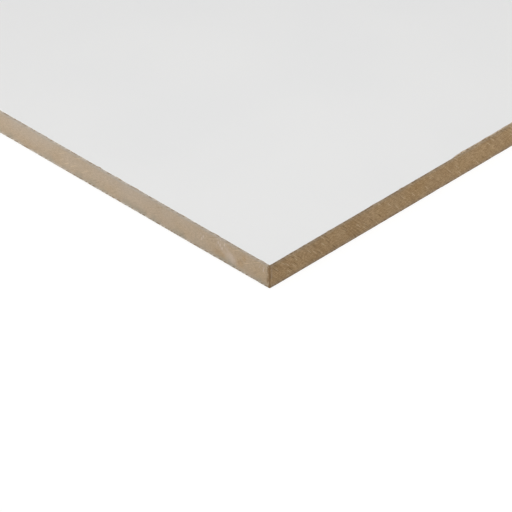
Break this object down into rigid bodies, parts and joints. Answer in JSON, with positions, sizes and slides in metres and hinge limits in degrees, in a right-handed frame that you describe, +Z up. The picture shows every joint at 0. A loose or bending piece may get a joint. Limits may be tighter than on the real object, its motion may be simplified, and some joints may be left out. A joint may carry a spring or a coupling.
{
  "type": "melamine-faced mdf board",
  "caption": "Flat rectangular fibreboard sheet with a white melamine film on its face and back and bare sawn edges, for furniture, shelving and lining.",
  "frame": {"origin": "centre of the underside, on the surface that the board lies on", "axes": "+X along the length of the sheet, +Y along its width, +Z up out of the white face"},
  "size_m": [2.44, 1.22, 0.018],
  "materials": {
    "mdf": "raw sawn fibreboard, matte",
    "white_melamine": "satin"
  },
  "bodies": {
    "root": {"mdf_core": "mdf", "melamine_face": "white_melamine", "melamine_back": "white_melamine"}
  },
  "joints": []
}
